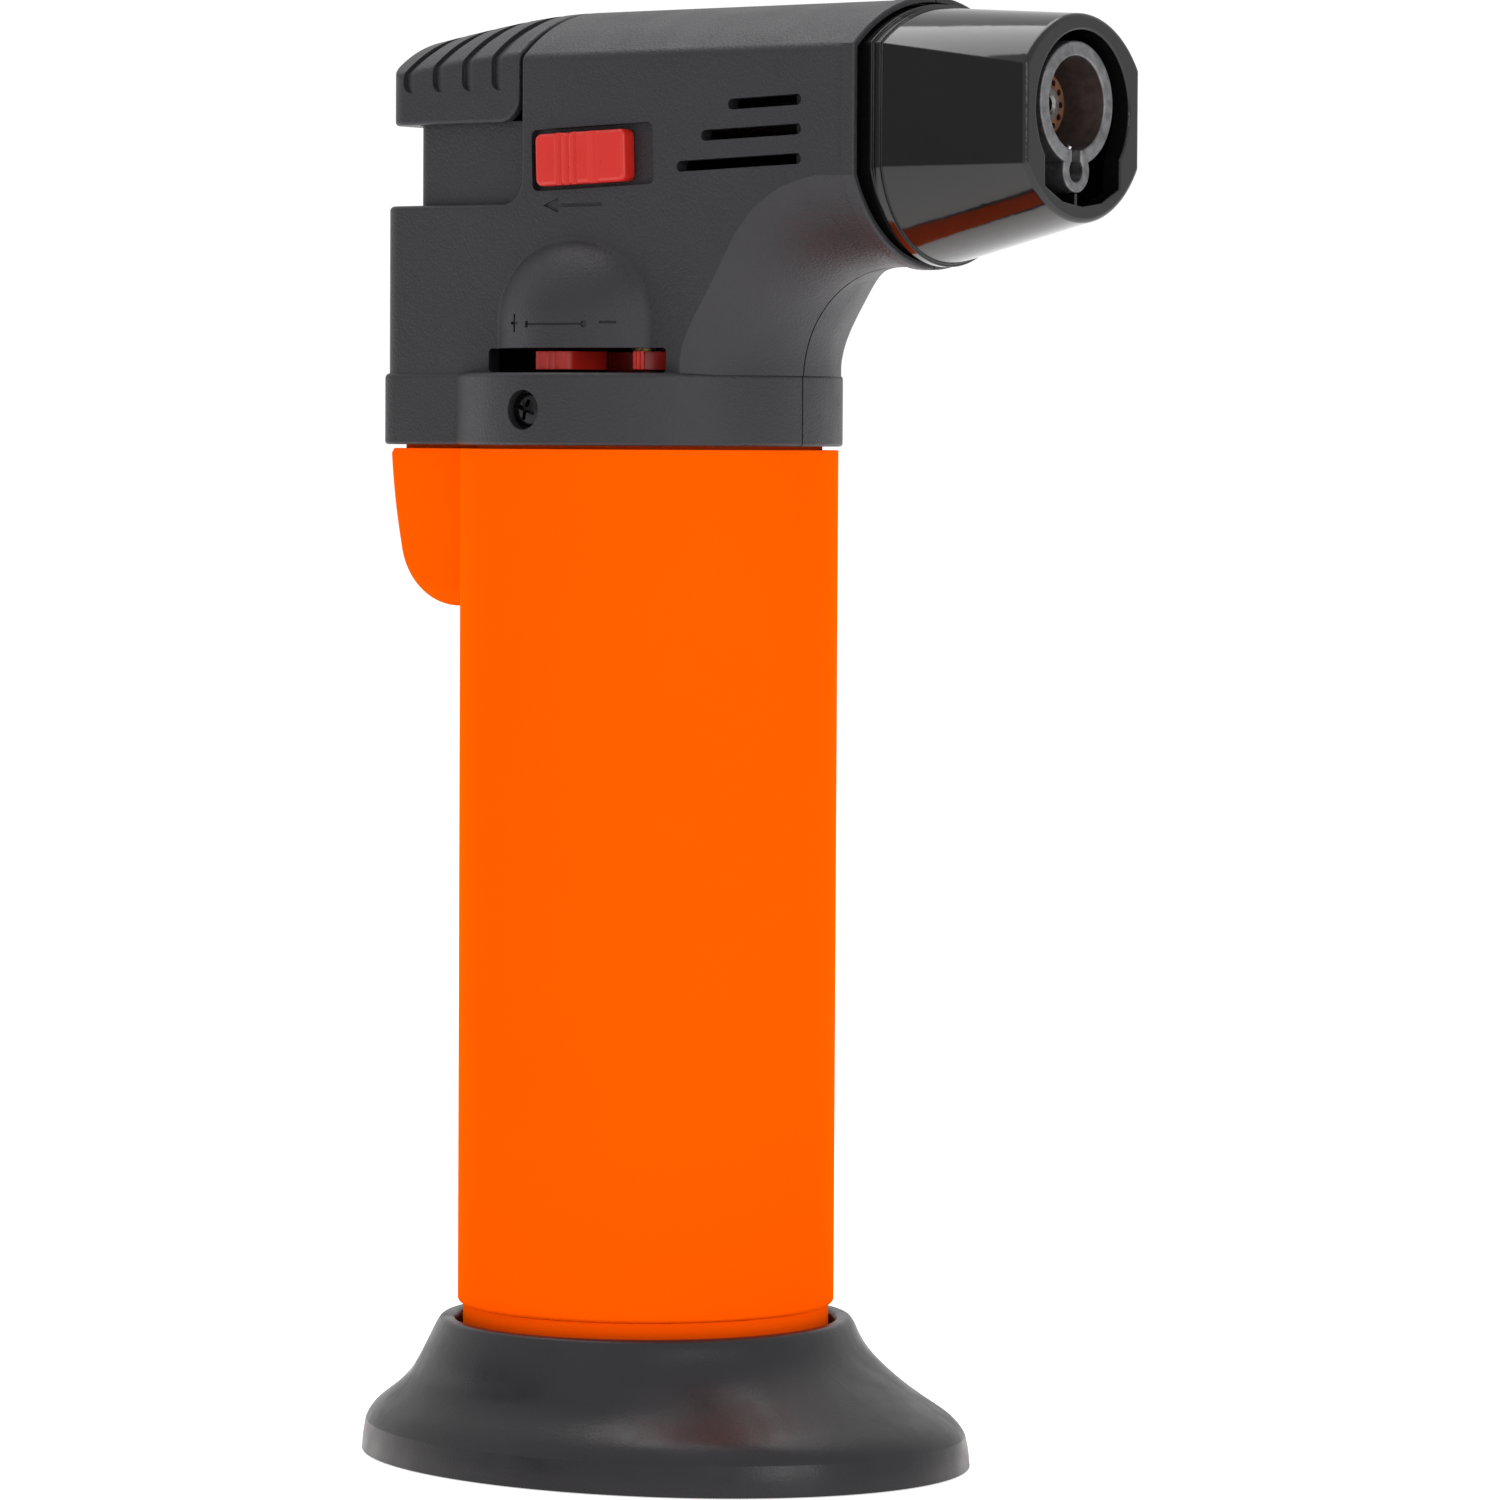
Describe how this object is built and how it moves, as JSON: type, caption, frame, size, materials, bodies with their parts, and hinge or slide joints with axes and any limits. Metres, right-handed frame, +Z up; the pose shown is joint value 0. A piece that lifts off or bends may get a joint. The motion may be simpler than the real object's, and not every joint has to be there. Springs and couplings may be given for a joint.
{
  "type": "butane torch",
  "caption": "Hand-held gas torch with round tank, pistol head, thumb ignition button, lock slider, flame adjuster and shrouded nozzle, standing in a flared foot.",
  "frame": {"origin": "on the tank's axis, in the plane the stand rests on", "axes": "+X towards the nozzle, +Z up along the tank, -Y the side with the lock slider and flame adjuster"},
  "size_m": [0.091, 0.0582, 0.1582],
  "materials": {
    "stand_plastic": "satin black moulding",
    "orange_tank": "satin orange",
    "brass": "machined",
    "seal_rubber": "matte",
    "spring_steel": "bright wire",
    "white_plastic": "natural nylon",
    "red_plastic": "semi-gloss red",
    "black_housing": "fine-grained dark grey",
    "dark_steel": "black zinc",
    "tube_steel": "dull grey",
    "burner_brass": "heat-stained",
    "ceramic": "unglazed white",
    "hose_rubber": "translucent grey, matte",
    "lead_rubber": "black insulation",
    "gloss_guard": "polished black"
  },
  "bodies": {
    "stand": {"stand_base": "stand_plastic"},
    "torch": {"tank_shell": "orange_tank", "tank_foot_plug": "orange_tank", "fill_valve_body": "brass", "fill_valve_seal": "seal_rubber", "fill_valve_spring": "spring_steel", "valve_body": "brass", "valve_seal": "seal_rubber", "valve_spring": "spring_steel", "dip_tube": "white_plastic", "housing_right": "black_housing", "housing_left": "black_housing", "housing_screws": "dark_steel", "piezo_body": "black_housing", "button_return_spring": "spring_steel", "lever_pin": "spring_steel", "jet_holder": "brass", "mixing_tube": "tube_steel", "burner_head": "burner_brass", "flame_tube": "tube_steel", "electrode_insulator": "ceramic", "electrode_wire": "spring_steel", "gas_hose": "hose_rubber", "ignition_lead": "lead_rubber", "nozzle_guard": "gloss_guard"},
    "button": {"ignition_button": "black_housing", "piezo_plunger": "white_plastic"},
    "lever": {"valve_lever": "white_plastic"},
    "stem": {"valve_stem": "brass"},
    "lock": {"lock_slider": "red_plastic"},
    "adjuster": {"flame_adjuster": "red_plastic", "valve_regulator_ring": "red_plastic"},
    "fill_stem": {"fill_valve_stem": "brass"}
  },
  "joints": [
    {"name": "stand_lift", "type": "slide", "parent": "stand", "child": "torch", "axis": [0, 0, 1], "range_m": [0, 0.025]},
    {"name": "ignition_press", "type": "slide", "parent": "torch", "child": "button", "axis": [0, 0, -1], "range_m": [0, 0.005], "stiffness_N_per_m": 900, "springref_m": -0.004, "deforming": ["button_return_spring"]},
    {"name": "lever_tilt", "type": "hinge", "parent": "torch", "child": "lever", "pos_m": [-0.006, 0, 0.12425], "axis": [0, -1, 0], "range_deg": [0, 12]},
    {"name": "valve_lift", "type": "slide", "parent": "torch", "child": "stem", "axis": [0, 0, 1], "range_m": [0, 0.00125], "deforming": ["valve_spring"]},
    {"name": "lock_slide", "type": "slide", "parent": "torch", "child": "lock", "axis": [0.9995, 0, 0.0332], "range_m": [0, 0.0025]},
    {"name": "flame_adjust", "type": "hinge", "parent": "torch", "child": "adjuster", "pos_m": [0, 0, 0.1187], "axis": [0, 0, 1], "range_deg": [-15, 20]},
    {"name": "fill_valve_press", "type": "slide", "parent": "torch", "child": "fill_stem", "axis": [0, 0, 1], "range_m": [0, 0.001], "stiffness_N_per_m": 800, "springref_m": -0.002, "deforming": ["fill_valve_spring"]}
  ],
  "couplings": [
    {"joint": "lever_tilt", "follows": "ignition_press", "rad_per_m": 39.6},
    {"joint": "valve_lift", "follows": "ignition_press", "ratio": 0.236}
  ]
}
